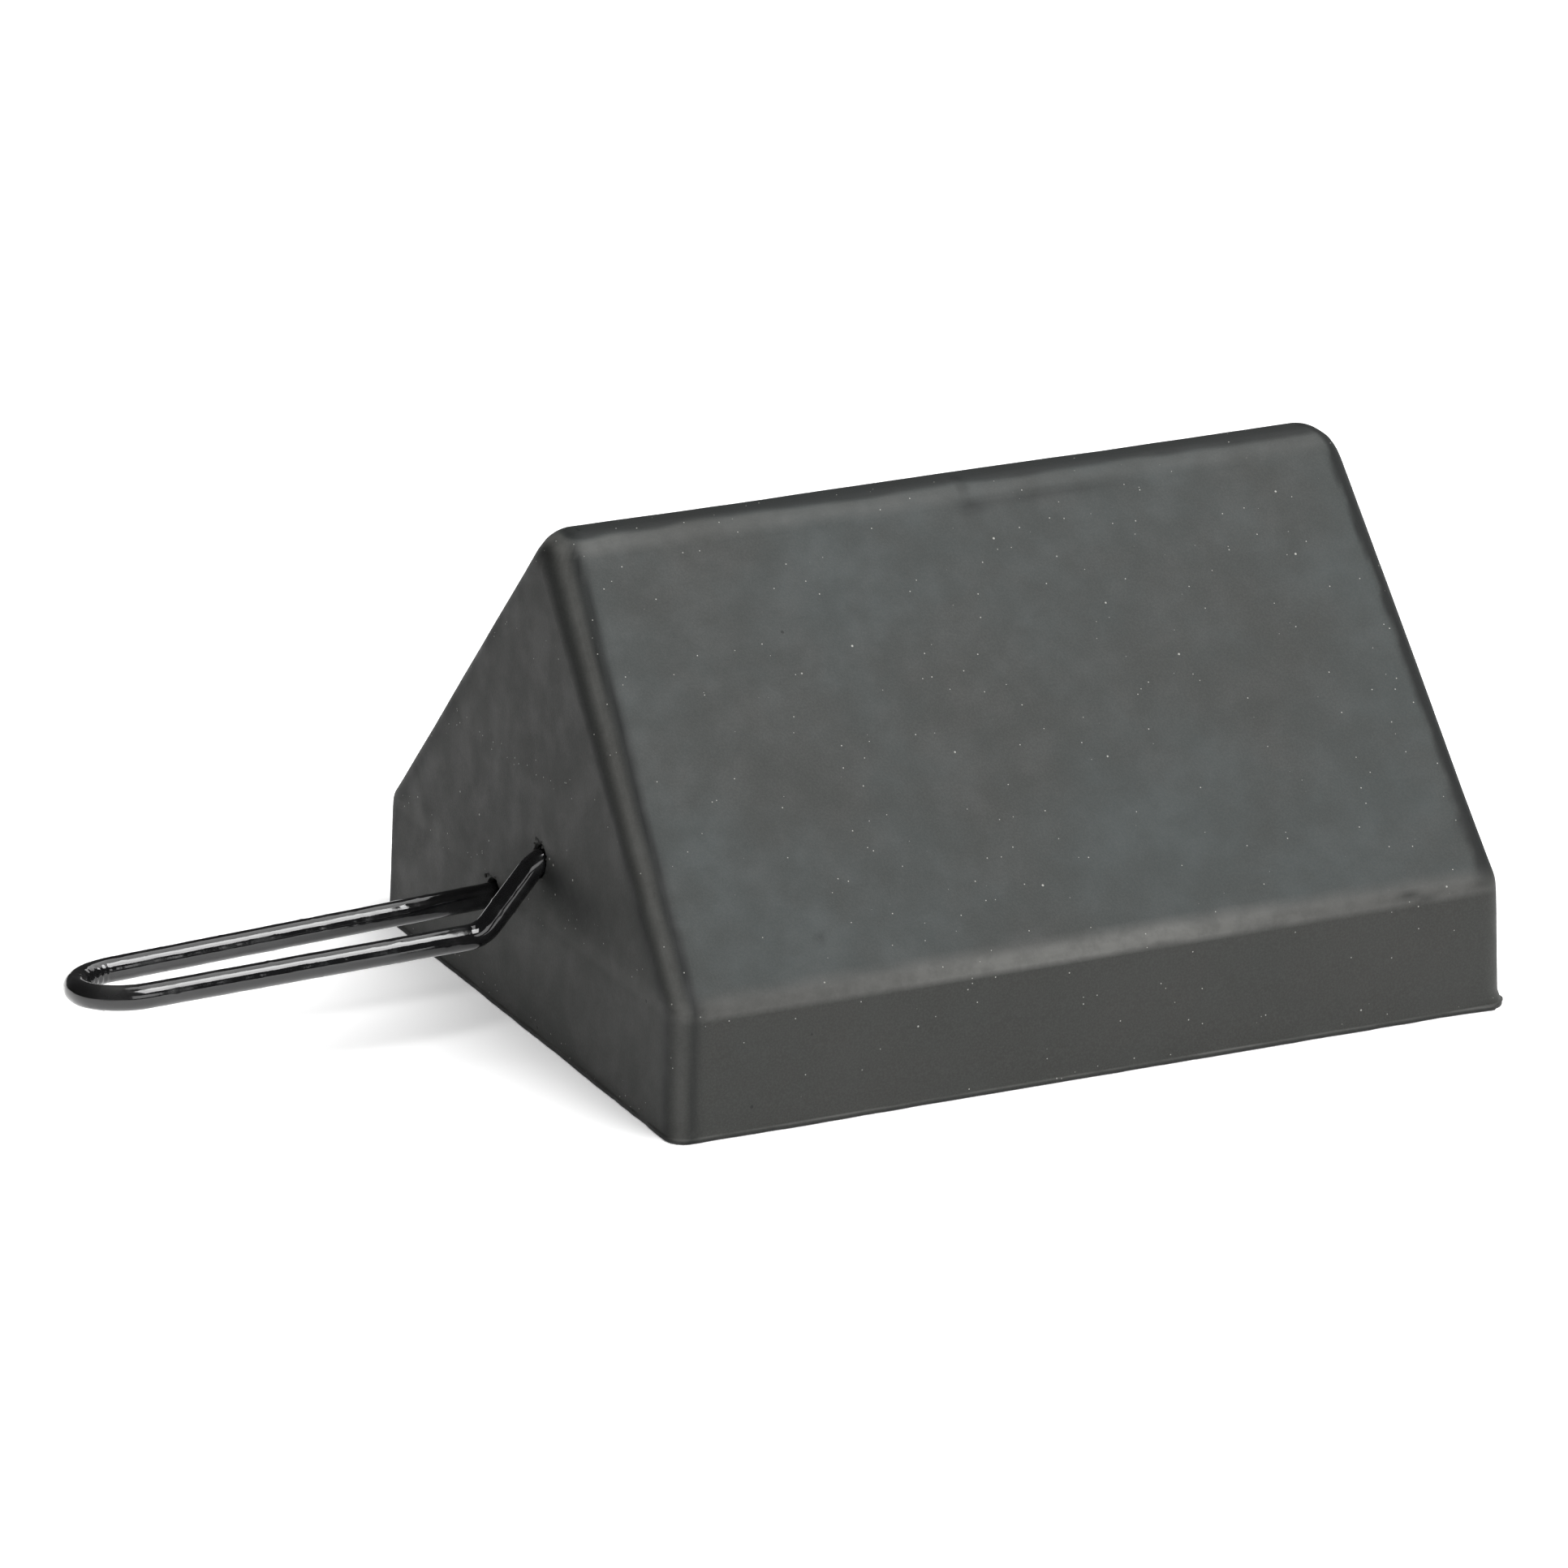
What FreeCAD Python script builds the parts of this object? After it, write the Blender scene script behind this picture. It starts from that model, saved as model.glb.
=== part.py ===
"""Rubber wheel chock with a bent wire pull handle, as two separate pieces.

Millimetres. +X runs along the ridge, the wire handle sticks out of the -X end, the two
tyre faces look towards +Y and -Y, and +Z is up. The origin is the middle of the base.
"""
import FreeCAD, Part
import math
import os

import Sketcher

OVERSHOOT = 1.1  # how far a cutting sketch reaches past the block, as a factor
BORE_START = 10.0  # how far outside the end face a boring tool starts

DIMENSIONS = [
    # alias, value, note
    ("block_length", 228.6, "base along the ridge over the flash lip, 9 in"),
    ("block_width", 177.8, "base across the ridge over the flash lip, 7 in"),
    ("block_height", 127.0, "base to ridge, 5 in"),
    ("wall_height", 33.0, "short drafted wall below each tyre face"),
    ("ridge_half_width", 5.6, "half of the ridge top before rounding"),
    ("end_draft", 2.3, "draft of the two end faces, degrees"),
    ("side_draft", 2.7, "draft of the two side walls, degrees"),
    ("foot_radius", 7.2, "upright corners at the base"),
    ("shoulder_radius", 5.0, "upright corners and long edges at the wall's top"),
    ("ridge_radius", 9.9, "edges of the ridge, round its ends as well"),
    ("lip_thickness", 1.0, "flash lip round the base"),
    ("lip_proud", 0.4, "how far the flash lip stands out"),
    ("wire_diameter", 6.35, "coated wire, 1/4 in"),
    ("grip_depth", 50.0, "length of wire tip held in the rubber"),
    ("hole_spare", 1.0, "empty end of each blind hole"),
    ("mouth_diameter", 9.5, "worn mouth of each hole"),
    ("mouth_depth", 6.0, "depth of the worn mouth"),
    ("far_hole_offset", 21.1, "straight leg, sideways from the middle"),
    ("far_hole_height", 27.3, "straight leg, above the base"),
    ("near_hole_offset", -5.6, "cranked leg, sideways from the middle"),
    ("near_hole_height", 45.8, "cranked leg, above the base"),
    ("loop_reach", 113.9, "foot of the end face to the outer run of the loop"),
    ("loop_far_offset", 21.5, "straight leg at the outer end, sideways"),
    ("loop_far_height", 22.8, "straight leg at the outer end, height"),
    ("loop_near_offset", -5.0, "cranked leg at the outer end, sideways"),
    ("loop_near_height", 25.6, "cranked leg at the outer end, height"),
    ("loop_radius", 13.2, "two outer bends of the loop"),
    ("crank_reach", 13.2, "foot of the crank, out from the foot of the end face"),
    ("crank_height", 27.8, "foot of the crank, above the base"),
    ("crank_foot_radius", 8.0, "bend at the foot of the crank"),
    ("crank_top_radius", 9.5, "bend at the mouth of the upper hole"),
]


def fill_sheet(doc):
    """Put every driving dimension in the sheet under its own alias."""
    sheet = doc.addObject("Spreadsheet::Sheet", "Dimensions")
    for row, (alias, value, note) in enumerate(DIMENSIONS, start=1):
        sheet.set("A%d" % row, alias)
        sheet.set("B%d" % row, str(value))
        sheet.set("C%d" % row, note)
        sheet.setAlias("B%d" % row, alias)
    doc.recompute()
    return sheet


def bind(target, path, formula):
    """Bind one property to the sheet; {name} stands for a cell's alias."""
    aliases = {row[0]: "Dimensions." + row[0] for row in DIMENSIONS}
    target.setExpression(path, formula.format(**aliases))


def origin_plane(body, role):
    """Return one of the body's own origin planes."""
    return next(item for item in body.Origin.OriginFeatures if item.Role == role)


def new_sketch(body, name, role):
    """Start a sketch on one of the body's origin planes."""
    sketch = body.newObject("Sketcher::SketchObject", name)
    sketch.AttachmentSupport = [(origin_plane(body, role), "")]
    sketch.MapMode = "FlatFace"
    return sketch


def polygon(sketch, points):
    """Add a closed chain of lines and return the index of its first line."""
    first = sketch.GeometryCount
    count = len(points)
    for here in range(count):
        start = FreeCAD.Vector(*points[here], 0)
        stop = FreeCAD.Vector(*points[(here + 1) % count], 0)
        sketch.addGeometry(Part.LineSegment(start, stop), False)
    for here in range(count):
        join = Sketcher.Constraint("Coincident", first + here, 2,
                                   first + (here + 1) % count, 1)
        sketch.addConstraint(join)
    return first


def place_vertex(sketch, line, name, across, up):
    """Hold the start of a line at named distances from the sketch's origin."""
    for kind, label, (value, formula) in (("DistanceX", "_across", across),
                                          ("DistanceY", "_up", up)):
        if value == 0:
            axis = -2 if kind == "DistanceX" else -1
            sketch.addConstraint(Sketcher.Constraint("PointOnObject", line, 1, axis))
            continue
        rule = Sketcher.Constraint(kind, -1, 1, line, 1, value)
        index = sketch.addConstraint(rule)
        sketch.renameConstraint(index, name + label)
        bind(sketch, "Constraints." + name + label, formula)


def named_polygon(sketch, corners):
    """Draw a closed chain through (name, across, up) corners, each bound to the sheet."""
    points = [(across[0], up[0]) for _, across, up in corners]
    first = polygon(sketch, points)
    for step, (name, across, up) in enumerate(corners):
        place_vertex(sketch, first + step, name, across, up)


def make_section(body, size):
    """Pad the cross-section of walls, tyre faces and ridge along its whole length."""
    sketch = new_sketch(body, "CrossSection", "YZ_Plane")
    foot = size["block_width"] / 2 - size["lip_proud"]
    shoulder = foot - size["wall_height"] * math.tan(math.radians(size["side_draft"]))
    foot_rule = "{block_width} / 2 - {lip_proud}"
    shoulder_rule = foot_rule + " - {wall_height} * tan({side_draft} * 1 deg)"
    half = size["ridge_half_width"]
    wall = (size["wall_height"], "{wall_height}")
    top = (size["block_height"], "{block_height}")
    ground = (0, "0")
    named_polygon(sketch, [
        ("left_foot", (-foot, "-(" + foot_rule + ")"), ground),
        ("right_foot", (foot, foot_rule), ground),
        ("right_shoulder", (shoulder, shoulder_rule), wall),
        ("right_ridge", (half, "{ridge_half_width}"), top),
        ("left_ridge", (-half, "-{ridge_half_width}"), top),
        ("left_shoulder", (-shoulder, "-(" + shoulder_rule + ")"), wall),
    ])
    pad = body.newObject("PartDesign::Pad", "Prism")
    pad.Profile = sketch
    pad.SideType = "Symmetric"
    bind(pad, "Length", "{block_length} - 2 * {lip_proud}")
    body.Document.recompute()


def draft_ends(body, size):
    """Cut a thin wedge off each end so that both lean in by the end draft."""
    sketch = new_sketch(body, "EndWedges", "XZ_Plane")
    foot = size["block_length"] / 2 - size["lip_proud"]
    high = size["block_height"] * OVERSHOOT
    lean = high * math.tan(math.radians(size["end_draft"]))
    foot_rule = "{block_length} / 2 - {lip_proud}"
    high_rule = "{block_height} * %g" % OVERSHOOT
    lean_rule = foot_rule + " - " + high_rule + " * tan({end_draft} * 1 deg)"
    for side, mark in ((1, ""), (-1, "-")):
        name = "front" if side > 0 else "rear"
        named_polygon(sketch, [
            (name + "_foot", (side * foot, mark + "(" + foot_rule + ")"), (0, "0")),
            (name + "_outer", (side * foot * OVERSHOOT,
                               mark + "(" + foot_rule + ") * %g" % OVERSHOOT),
             (high, high_rule)),
            (name + "_inner", (side * (foot - lean), mark + "(" + lean_rule + ")"),
             (high, high_rule)),
        ])
    before = body.Tip.Shape.Volume
    pocket = body.newObject("PartDesign::Pocket", "EndDraft")
    pocket.Profile = sketch
    pocket.SideType = "Symmetric"
    pocket.Type = "ThroughAll"
    body.Document.recompute()
    if pocket.Shape.Volume >= before:
        raise RuntimeError("the end draft cut nothing")


def round_block(doc, body, size):
    """Round every edge above the base; the radius changes evenly along an edge."""
    radius_at = ((0.0, size["foot_radius"]), (size["wall_height"], size["shoulder_radius"]),
                 (size["block_height"], size["ridge_radius"]))

    def radius(point):
        return min(radius_at, key=lambda pair: abs(pair[0] - point.z))[1]

    picked = []
    for number, edge in enumerate(body.Shape.Edges, start=1):
        start, stop = (vertex.Point for vertex in edge.Vertexes)
        if max(start.z, stop.z) > size["lip_thickness"]:
            picked.append((number, radius(start), radius(stop)))
    rounded = doc.addObject("Part::Fillet", "RoundedMoulding")
    rounded.Base = body
    rounded.Edges = picked
    doc.recompute()
    if rounded.Shape.isNull() or rounded.Shape.Volume >= body.Shape.Volume:
        raise RuntimeError("the rounding removed nothing")
    return rounded


def make_lip(doc, size):
    """Pad the thin flash lip round the base and round its four corners."""
    body = doc.addObject("PartDesign::Body", "FlashLip")
    sketch = new_sketch(body, "LipOutline", "XY_Plane")
    across = size["block_length"] / 2
    up = size["block_width"] / 2
    corners = []
    for name, right, back in (("a", -1, -1), ("b", 1, -1), ("c", 1, 1), ("d", -1, 1)):
        corners.append(("corner_" + name,
                        (right * across, ("-" if right < 0 else "") + "{block_length} / 2"),
                        (back * up, ("-" if back < 0 else "") + "{block_width} / 2")))
    named_polygon(sketch, corners)
    pad = body.newObject("PartDesign::Pad", "Lip")
    pad.Profile = sketch
    bind(pad, "Length", "{lip_thickness}")
    doc.recompute()
    upright = ["Edge%d" % number for number, edge in enumerate(pad.Shape.Edges, start=1)
               if abs(edge.Vertexes[0].Z - edge.Vertexes[1].Z) > size["lip_thickness"] / 2]
    fillet = body.newObject("PartDesign::Fillet", "LipCorners")
    fillet.Base = (pad, upright)
    bind(fillet, "Radius", "{foot_radius}")
    doc.recompute()
    return body


def aim(start, direction):
    """Place something at start with its own Z axis along direction."""
    turn = FreeCAD.Rotation(FreeCAD.Vector(0, 0, 1), direction)
    return FreeCAD.Placement(start, turn)


def bore(doc, name, mouth, inward, radius_rule, depth_rule):
    """A cylinder that sinks one blind hole, from a little outside its mouth."""
    tool = doc.addObject("Part::Cylinder", name)
    bind(tool, "Radius", radius_rule)
    bind(tool, "Height", depth_rule + " + %g" % BORE_START)
    tool.Placement = aim(mouth - inward * BORE_START, inward)
    return tool


def make_block(doc, size, route):
    """Build the solid rubber moulding with its flash lip and two blind holes."""
    body = doc.addObject("PartDesign::Body", "DraftedPrism")
    make_section(body, size)
    draft_ends(body, size)
    whole = doc.addObject("Part::Fuse", "MouldingWithLip")
    whole.Base = round_block(doc, body, size)
    whole.Tool = make_lip(doc, size)
    tools = []
    for name, mouth, tip in (("Far", route["far_mouth"], route["far_tip"]),
                             ("Near", route["near_mouth"], route["near_tip"])):
        inward = (tip - mouth).normalize()
        tools.append(bore(doc, name + "Bore", mouth, inward, "{wire_diameter} / 2",
                          "{grip_depth} + {hole_spare}"))
        tools.append(bore(doc, name + "Mouth", mouth, inward, "{mouth_diameter} / 2",
                          "{mouth_depth}"))
    holes = doc.addObject("Part::MultiFuse", "Holes")
    holes.Shapes = tools
    block = doc.addObject("Part::Cut", "RubberBlock")
    block.Base = whole
    block.Tool = holes
    block.Label = "rubber_block"
    doc.recompute()
    if block.Shape.Volume >= whole.Shape.Volume:
        raise RuntimeError("the holes cut nothing")
    return block


def handle_route(size):
    """Work out the corners of the wire's centre line from the named sizes."""
    end = size["block_length"] / 2 - size["lip_proud"]
    lean = math.tan(math.radians(size["end_draft"]))

    def on_face(offset, height):
        return FreeCAD.Vector(-(end - height * lean), offset, height)

    loop_end = -(end + size["loop_reach"])
    far_mouth = on_face(size["far_hole_offset"], size["far_hole_height"])
    near_mouth = on_face(size["near_hole_offset"], size["near_hole_height"])
    far_corner = FreeCAD.Vector(loop_end, size["loop_far_offset"], size["loop_far_height"])
    near_corner = FreeCAD.Vector(loop_end, size["loop_near_offset"],
                                 size["loop_near_height"])
    crank_foot = FreeCAD.Vector(-(end + size["crank_reach"]), size["loop_near_offset"],
                                size["crank_height"])
    inward = (far_mouth - far_corner).normalize()
    return {
        "far_tip": far_mouth + inward * size["grip_depth"],
        "far_mouth": far_mouth,
        "far_corner": far_corner,
        "near_corner": near_corner,
        "crank_foot": crank_foot,
        "near_mouth": near_mouth,
        "near_tip": near_mouth + FreeCAD.Vector(size["grip_depth"], 0, 0),
    }


def bend(before, corner, after, radius):
    """Return the start, middle and end of the arc that rounds one corner."""
    back = (before - corner).normalize()
    ahead = (after - corner).normalize()
    half = back.getAngle(ahead) / 2
    trim = radius / math.tan(half)
    inward = (back + ahead).normalize()
    middle = corner + inward * (radius / math.sin(half) - radius)
    return corner + back * trim, middle, corner + ahead * trim


def wire_path(corners, radii):
    """Join straight runs with tangent arcs into one wire."""
    edges = []
    here = corners[0]
    for number, radius in enumerate(radii, start=1):
        start, middle, stop = bend(corners[number - 1], corners[number],
                                   corners[number + 1], radius)
        if (start - here).Length > 0.001:
            edges.append(Part.LineSegment(here, start).toShape())
        edges.append(Part.Arc(start, middle, stop).toShape())
        here = stop
    edges.append(Part.LineSegment(here, corners[-1]).toShape())
    return Part.Wire(edges)


def make_handle(doc, size, route):
    """Sweep the round wire along the loop, the crank and both straight tips."""
    names = ("far_tip", "far_corner", "near_corner", "crank_foot", "near_mouth", "near_tip")
    corners = [route[name] for name in names]
    radii = [size["loop_radius"], size["loop_radius"],
             size["crank_foot_radius"], size["crank_top_radius"]]
    path = doc.addObject("Part::Feature", "HandlePath")
    path.Shape = wire_path(corners, radii)
    section = doc.addObject("Part::Circle", "WireSection")
    bind(section, "Radius", "{wire_diameter} / 2")
    section.Placement = aim(corners[0], (corners[1] - corners[0]).normalize())
    sweep = doc.addObject("Part::Sweep", "WireHandle")
    sweep.Label = "wire_handle"
    sweep.Sections = [section]
    sweep.Spine = (path, ["Edge%d" % (n + 1) for n in range(len(path.Shape.Edges))])
    sweep.Solid = True
    sweep.Frenet = False
    doc.recompute()
    bore_area = math.pi * size["wire_diameter"] ** 2 / 4
    share = sweep.Shape.Volume / (bore_area * path.Shape.Length)
    print("wire length %.1f mm, volume share %.4f" % (path.Shape.Length, share))
    return sweep


def check(doc, nodes):
    """Stop if any object failed or any piece is not one valid solid."""
    for item in doc.Objects:
        if "Invalid" in item.State or "Error" in item.State:
            raise RuntimeError("%s failed: %s" % (item.Label, item.State))
    for node in nodes:
        shape = node.Shape
        if shape.isNull() or not shape.isValid() or len(shape.Solids) != 1:
            raise RuntimeError("%s is not one valid solid" % node.Label)
        print("%s: %.1f mm3, %s" % (node.Label, shape.Volume, shape.BoundBox))


def main():
    """Build the document, check it and write one file for each piece."""
    doc = FreeCAD.newDocument("wheel_chock")
    sheet = fill_sheet(doc)
    size = {alias: float(sheet.get(alias)) for alias, _, _ in DIMENSIONS}
    route = handle_route(size)
    nodes = [make_block(doc, size, route), make_handle(doc, size, route)]
    doc.recompute()
    check(doc, nodes)
    os.makedirs("parts", exist_ok=True)
    for node in nodes:
        node.Shape.exportStep("parts/%s.step" % node.Label)


main()
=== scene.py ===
import math

import bmesh
import bpy
from mathutils import Matrix, Vector, noise


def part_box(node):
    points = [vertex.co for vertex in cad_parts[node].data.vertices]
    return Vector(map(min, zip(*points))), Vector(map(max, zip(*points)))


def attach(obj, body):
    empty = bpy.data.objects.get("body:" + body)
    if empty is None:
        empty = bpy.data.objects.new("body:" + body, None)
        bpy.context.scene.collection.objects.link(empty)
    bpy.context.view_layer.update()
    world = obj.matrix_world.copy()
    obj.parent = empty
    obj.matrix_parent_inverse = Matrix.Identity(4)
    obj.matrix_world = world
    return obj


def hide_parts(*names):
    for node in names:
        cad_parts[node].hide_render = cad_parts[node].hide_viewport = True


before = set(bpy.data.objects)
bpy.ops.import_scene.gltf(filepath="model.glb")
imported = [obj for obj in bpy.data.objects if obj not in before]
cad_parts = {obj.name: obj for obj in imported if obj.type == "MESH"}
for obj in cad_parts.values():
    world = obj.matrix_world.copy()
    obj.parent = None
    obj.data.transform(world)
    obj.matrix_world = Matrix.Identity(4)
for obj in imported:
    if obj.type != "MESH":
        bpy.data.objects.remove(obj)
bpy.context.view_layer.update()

MM = 0.001
UP = Vector((0.0, 0.0, 1.0))

# ---------------------------------------------------------------- named sizes

BLOCK_LOW, BLOCK_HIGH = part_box("rubber_block")
BLOCK_LENGTH = BLOCK_HIGH.x - BLOCK_LOW.x
BLOCK_WIDTH = BLOCK_HIGH.y - BLOCK_LOW.y
BLOCK_HEIGHT = BLOCK_HIGH.z - BLOCK_LOW.z
WALL_HEIGHT = 33.0 * MM
RIDGE_HALF_WIDTH = 5.6 * MM
END_LEAN = math.tan(math.radians(2.3))
SIDE_LEAN = math.tan(math.radians(2.7))
FOOT_RADIUS = 7.2 * MM
SHOULDER_RADIUS = 5.0 * MM
RIDGE_RADIUS = 9.9 * MM
LIP_PROUD = 0.4 * MM
LIP_THICKNESS = 1.0 * MM
FOOT_HALF_LENGTH = BLOCK_LENGTH / 2 - LIP_PROUD
FOOT_HALF_WIDTH = BLOCK_WIDTH / 2 - LIP_PROUD
SHOULDER_HALF_WIDTH = FOOT_HALF_WIDTH - WALL_HEIGHT * SIDE_LEAN
SLOPE = math.atan2(BLOCK_HEIGHT - WALL_HEIGHT, SHOULDER_HALF_WIDTH - RIDGE_HALF_WIDTH)
GRID = 1.7 * MM

WIRE_RADIUS = 6.35 / 2 * MM
GRIP_DEPTH = 50.0 * MM
LOOP_RADIUS = 13.2 * MM
CRANK_FOOT_RADIUS = 8.0 * MM
CRANK_TOP_RADIUS = 9.5 * MM


def end_face(offset, height):
    """A point on the drafted end face that holds the handle."""
    return Vector((height * END_LEAN - FOOT_HALF_LENGTH, offset, height))


FAR_MOUTH = end_face(21.1 * MM, 27.3 * MM)
NEAR_MOUTH = end_face(-5.6 * MM, 45.8 * MM)
LOOP_END = -(FOOT_HALF_LENGTH + 113.9 * MM)
FAR_CORNER = Vector((LOOP_END, 21.5 * MM, 22.8 * MM))
NEAR_CORNER = Vector((LOOP_END, -5.0 * MM, 25.6 * MM))
CRANK_FOOT = Vector((-(FOOT_HALF_LENGTH + 13.2 * MM), -5.0 * MM, 27.8 * MM))
FAR_TIP = FAR_MOUTH + (FAR_MOUTH - FAR_CORNER).normalized() * GRIP_DEPTH
NEAR_TIP = NEAR_MOUTH + Vector((GRIP_DEPTH, 0, 0))

# ---------------------------------------------------------------- shared helpers


def smooth(low, high, value):
    """0 below low, 1 above high, and a smooth step between."""
    share = min(max((value - low) / (high - low), 0.0), 1.0)
    return share * share * (3 - 2 * share)


def bell(value, middle, width):
    """1 at the middle, fading to 0 over about twice the width."""
    return math.exp(-((value - middle) / width) ** 2)


def wobble(point, pitch, seed):
    """Smooth noise from about -1 to 1, whose lumps are about pitch across."""
    return noise.noise(point / pitch + Vector((seed * 7.3, seed * 3.1, seed * 5.7)))


def rounded_path(corners, radii, run_step, arc_step):
    """Sample straight runs joined by tangent arcs, with even steps along each."""
    points = [corners[0].copy()]
    for number, radius in enumerate(radii, start=1):
        corner = corners[number]
        back = (corners[number - 1] - corner).normalized()
        ahead = (corners[number + 1] - corner).normalized()
        half = back.angle(ahead) / 2
        trim = radius / math.tan(half)
        centre = corner + (back + ahead).normalized() * (radius / math.sin(half))
        start = corner + back * trim
        turn = math.pi - 2 * half
        add_run(points, start, run_step)
        axis = (start - centre).cross(corner + ahead * trim - centre).normalized()
        steps = max(4, round(turn * radius / arc_step))
        for step in range(1, steps + 1):
            spin = Matrix.Rotation(turn * step / steps, 3, axis)
            points.append(centre + spin @ (start - centre))
    add_run(points, corners[-1], run_step)
    return points


def add_run(points, stop, step):
    """Append even steps from the last point to stop."""
    start = points[-1].copy()
    count = max(1, round((stop - start).length / step))
    if (stop - start).length < 1e-7:
        return
    for number in range(1, count + 1):
        points.append(start.lerp(stop, number / count))


def new_piece(name, mesh, material):
    """Link one finished mesh and give it its material."""
    piece = bpy.data.objects.new(name, mesh)
    bpy.context.scene.collection.objects.link(piece)
    mesh.materials.append(material)
    mesh.shade_smooth()
    return piece


# ---------------------------------------------------------------- wire path

WIRE_PATH = rounded_path(
    [FAR_TIP, FAR_CORNER, NEAR_CORNER, CRANK_FOOT, NEAR_MOUTH, NEAR_TIP],
    [LOOP_RADIUS, LOOP_RADIUS, CRANK_FOOT_RADIUS, CRANK_TOP_RADIUS],
    run_step=0.8 * MM, arc_step=0.5 * MM)
LOOP_CENTRE = (FAR_CORNER + NEAR_CORNER) / 2 + Vector((LOOP_RADIUS, 0, 0))


def wire_section(leg, x):
    """Centre and stretch of the wire where one leg crosses the plane at x."""
    for here, after in zip(leg, leg[1:]):
        low, high = sorted((here.x, after.x))
        if low <= x <= high and high > low:
            share = (x - here.x) / (after.x - here.x)
            centre = here.lerp(after, share)
            return centre, 1 / abs((after - here).normalized().x)
    raise ValueError("the wire does not reach x = %g" % x)


# ---------------------------------------------------------------- rubber block

HALF_END_STEPS = round(BLOCK_WIDTH / 2 / GRID)
HALF_LONG_STEPS = round(BLOCK_LENGTH / 2 / GRID)
CORNER_STEPS = 10
BASE_INSETS = (84.0, 72.0, 55.0, 38.0, 22.0, 11.0, 5.0, 2.0, 0.6)  # mm in from the foot
LIP_PROFILE = (
    # share of the lip's width, height in lip thicknesses
    (1.0, 0.0), (1.0, 0.45), (0.9, 0.85), (0.6, 1.0), (0.25, 1.12), (0.05, 1.4),
)
LIP_CORNER_SHARE = 0.72  # the flash's corners are tighter than the walls'


def cap_radius(height):
    """Level radius of the balls that round the ridge's ends, at one height."""
    rise = max(0.0, height - BLOCK_HEIGHT + RIDGE_RADIUS)
    return math.sqrt(max(0.0, RIDGE_RADIUS ** 2 - rise ** 2))


def half_length(height):
    """Half length of the block at one height, with the ridge's ends rounded off."""
    return FOOT_HALF_LENGTH - height * END_LEAN - (RIDGE_RADIUS - cap_radius(height))


def corner_cut(height):
    """How far a level outline's rounded corners reach along X and along Y."""
    if height < WALL_HEIGHT:
        radius = FOOT_RADIUS + (SHOULDER_RADIUS - FOOT_RADIUS) * height / WALL_HEIGHT
    else:
        climb = (height - WALL_HEIGHT) / (BLOCK_HEIGHT - WALL_HEIGHT)
        radius = SHOULDER_RADIUS + (RIDGE_RADIUS - SHOULDER_RADIUS) * climb
    on_slope = smooth(WALL_HEIGHT - 4 * MM, WALL_HEIGHT + 6 * MM, height)
    stretch = 1 + (1 / math.sin(SLOPE) - 1) * on_slope
    cap = cap_radius(height)
    into_cap = (height - BLOCK_HEIGHT + RIDGE_RADIUS) / (RIDGE_RADIUS * math.cos(SLOPE))
    into_cap = min(max(into_cap, 0.0), 1.0)
    cut_y = radius * stretch * (1 - into_cap) + cap * into_cap
    return min(radius, cap), cut_y


def side_profile():
    """Sample (half width, height) up one side: wall, shoulder, tyre face and ridge."""
    corners = [Vector((0, FOOT_HALF_WIDTH, 0)),
               Vector((0, SHOULDER_HALF_WIDTH, WALL_HEIGHT)),
               Vector((0, RIDGE_HALF_WIDTH, BLOCK_HEIGHT)),
               Vector((0, 0, BLOCK_HEIGHT))]
    points = rounded_path(corners, [SHOULDER_RADIUS, RIDGE_RADIUS], GRID, 0.8 * MM)
    return [(point.y, point.z) for point in points if point.y > 0.4 * MM]


def level(half_x, half_y, height, cut_x, cut_y):
    """One level outline, counterclockwise from the middle of the handle end."""
    cut_y = min(cut_y, half_y * 0.93)
    quarter = [(-half_x, -(half_y - cut_y) * step / HALF_END_STEPS)
               for step in range(HALF_END_STEPS)]
    for step in range(CORNER_STEPS + 1):
        turn = math.pi / 2 * step / CORNER_STEPS
        quarter.append((-(half_x - cut_x) - cut_x * math.cos(turn),
                        -(half_y - cut_y) - cut_y * math.sin(turn)))
    quarter += [(-(half_x - cut_x) * (1 - step / HALF_LONG_STEPS), -half_y)
                for step in range(1, HALF_LONG_STEPS + 1)]
    half = quarter + [(-x, y) for x, y in reversed(quarter[:-1])]
    whole = half + [(x, -y) for x, y in reversed(half[1:-1])]
    return [Vector((x, y, height)) for x, y in whole]


def block_levels():
    """All level outlines, from the middle of the base out, then up to the ridge."""
    length, width = FOOT_HALF_LENGTH, FOOT_HALF_WIDTH
    levels = []
    base_cut = 0.6 * FOOT_RADIUS
    for inset in BASE_INSETS:
        levels.append(level(length - inset * MM, width - inset * MM, 0.0,
                            base_cut, base_cut))
    for proud_share, height_share in LIP_PROFILE:
        proud, height = LIP_PROUD * proud_share, LIP_THICKNESS * height_share
        cut = LIP_CORNER_SHARE * FOOT_RADIUS + proud
        levels.append(level(length + proud - height * END_LEAN,
                            width + proud - height * SIDE_LEAN, height, cut, cut))
    for half_y, height in side_profile():
        if height > 2 * LIP_THICKNESS:
            levels.append(level(half_length(height), half_y, height, *corner_cut(height)))
    return levels


def close_level(bm, ring, upward):
    """Close a narrow level by joining each side's points across the middle."""
    count = len(ring)
    half = count // 2
    for step in range(half):
        near = [ring[step], ring[step + 1]]
        far = [ring[-step - 1], ring[-step % count]]
        corners = []
        for vert in near + far:
            if vert not in corners:
                corners.append(vert)
        bm.faces.new(corners if upward else reversed(corners))


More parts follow.
